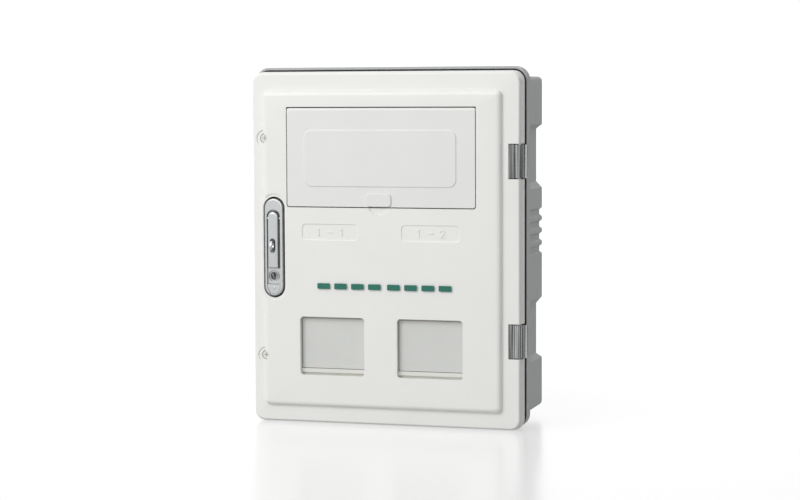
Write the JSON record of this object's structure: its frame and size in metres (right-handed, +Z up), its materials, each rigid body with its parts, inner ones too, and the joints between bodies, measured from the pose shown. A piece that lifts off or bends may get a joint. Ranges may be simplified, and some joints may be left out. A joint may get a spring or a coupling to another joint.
{
  "type": "electric meter box with smart meters",
  "caption": "Wall-mounted moulded meter box with a hinged locking door, breaker flap, frosted flip-up windows, and smart meters and breakers inside.",
  "frame": {"origin": "centre of the wall hole pattern on the back face", "axes": "+Z up, +Y into the wall, so the door faces -Y; +X is to the right seen from the front, on the door's hinge side"},
  "size_m": [0.4012, 0.185, 0.5061],
  "materials": {
    "door_plastic": "fine satin moulded",
    "flap_plastic": "fine satin moulded",
    "base_plastic": "fine grained moulded",
    "inner_plastic": "plain moulded",
    "frosted_pane": "frosted translucent",
    "clear_glazing": "clear polycarbonate",
    "rubber": "matt",
    "lock_metal": "satin silver",
    "chrome": "bright",
    "hinge_metal": "cast and polished",
    "steel": "zinc plated",
    "brass": "plain",
    "board_laminate": "laminate",
    "meter_plastic": "light satin",
    "terminal_plastic": "matt black",
    "display_glass": "liquid crystal",
    "switch_plastic": "satin",
    "toggle_red": "satin",
    "toggle_black": "satin",
    "support_plastic": "matt",
    "live_insulation": "soft",
    "neutral_insulation": "soft",
    "button_rubber": "matt"
  },
  "bodies": {
    "enclosure": {"base_shell": "base_plastic", "door_gasket": "rubber", "mounting_board": "board_laminate", "board_spacers": "terminal_plastic", "board_screws": "steel", "din_rail": "steel", "rail_brackets": "steel", "main_switch_case": "switch_plastic", "breaker_left_case": "switch_plastic", "breaker_right_case": "switch_plastic", "switch_screws": "steel", "neutral_bar": "brass", "earth_bar": "brass", "bar_supports": "support_plastic", "bar_screws": "steel", "meter_left_case": "meter_plastic", "meter_left_cover": "meter_plastic", "meter_left_display": "display_glass", "meter_left_terminals": "terminal_plastic", "meter_left_terminal_cover": "meter_plastic", "meter_right_case": "meter_plastic", "meter_right_cover": "meter_plastic", "meter_right_display": "display_glass", "meter_right_terminals": "terminal_plastic", "meter_right_terminal_cover": "meter_plastic", "meter_seal_screws": "steel", "cable_grommets": "rubber", "live_wires": "live_insulation", "neutral_wires": "neutral_insulation", "hinge_brackets": "hinge_metal", "hinge_pins": "steel"},
    "door": {"door_panel": "door_plastic", "breaker_tray": "inner_plastic", "window_frame_left": "inner_plastic", "window_frame_right": "inner_plastic", "window_glass_left": "clear_glazing", "window_glass_right": "clear_glazing", "lock_escutcheon": "lock_metal", "lock_gasket": "rubber", "lock_back_plate": "steel", "lock_screws": "steel", "key_cylinder": "lock_metal", "seal_screws": "inner_plastic", "lever_pin": "steel", "hinge_leaves": "hinge_metal"},
    "flap": {"flap_panel": "flap_plastic", "flap_pins": "steel"},
    "pane_left": {"window_pane_left": "frosted_pane"},
    "pane_right": {"window_pane_right": "frosted_pane"},
    "lever": {"lock_lever": "lock_metal"},
    "latch": {"lock_spindle": "steel", "lock_cam": "steel", "cam_nut": "steel"},
    "plug": {"key_plug": "chrome"},
    "cap": {"dust_cap": "lock_metal"},
    "main_toggle": {"main_switch_toggle": "toggle_red"},
    "left_toggle": {"breaker_left_toggle": "toggle_black"},
    "right_toggle": {"breaker_right_toggle": "toggle_black"},
    "left_button": {"meter_left_button": "button_rubber"},
    "right_button": {"meter_right_button": "button_rubber"}
  },
  "joints": [
    {"name": "door_hinge", "type": "hinge", "parent": "enclosure", "child": "door", "pos_m": [0.191, -0.15, 0], "axis": [0, 0, 1], "range_deg": [0, 115]},
    {"name": "flap_hinge", "type": "hinge", "parent": "door", "child": "flap", "pos_m": [-0.0035, -0.165, 0.18915], "axis": [-1, 0, 0], "range_deg": [0, 90]},
    {"name": "pane_left_hinge", "type": "hinge", "parent": "door", "child": "pane_left", "pos_m": [-0.0755, -0.16075, -0.10575], "axis": [-1, 0, 0], "range_deg": [0, 75]},
    {"name": "pane_right_hinge", "type": "hinge", "parent": "door", "child": "pane_right", "pos_m": [0.068, -0.16075, -0.10575], "axis": [-1, 0, 0], "range_deg": [0, 75]},
    {"name": "lever_lift", "type": "hinge", "parent": "door", "child": "lever", "pos_m": [-0.1618, -0.169, 0.03665], "axis": [-1, 0, 0], "range_deg": [0, 30]},
    {"name": "latch_turn", "type": "hinge", "parent": "door", "child": "latch", "pos_m": [-0.1618, -0.129, 0.03665], "axis": [0, -1, 0], "range_deg": [0, 90]},
    {"name": "key_turn", "type": "hinge", "parent": "door", "child": "plug", "pos_m": [-0.1618, -0.16, -0.04555], "axis": [0, -1, 0], "range_deg": [0, 90]},
    {"name": "cap_slide", "type": "slide", "parent": "door", "child": "cap", "axis": [0, 0, 1], "range_m": [0, 0.0185]},
    {"name": "main_toggle_swing", "type": "hinge", "parent": "enclosure", "child": "main_toggle", "pos_m": [-0.00375, -0.1225, 0.12425], "axis": [1, 0, 0], "range_deg": [0, 70]},
    {"name": "left_toggle_swing", "type": "hinge", "parent": "enclosure", "child": "left_toggle", "pos_m": [-0.0755, -0.1225, 0.12425], "axis": [1, 0, 0], "range_deg": [0, 70]},
    {"name": "right_toggle_swing", "type": "hinge", "parent": "enclosure", "child": "right_toggle", "pos_m": [0.068, -0.1225, 0.12425], "axis": [1, 0, 0], "range_deg": [0, 70]},
    {"name": "left_button_press", "type": "slide", "parent": "enclosure", "child": "left_button", "axis": [0, 1, 0], "range_m": [0, 0.0015], "stiffness_N_per_m": 300},
    {"name": "right_button_press", "type": "slide", "parent": "enclosure", "child": "right_button", "axis": [0, 1, 0], "range_m": [0, 0.0015], "stiffness_N_per_m": 300}
  ]
}
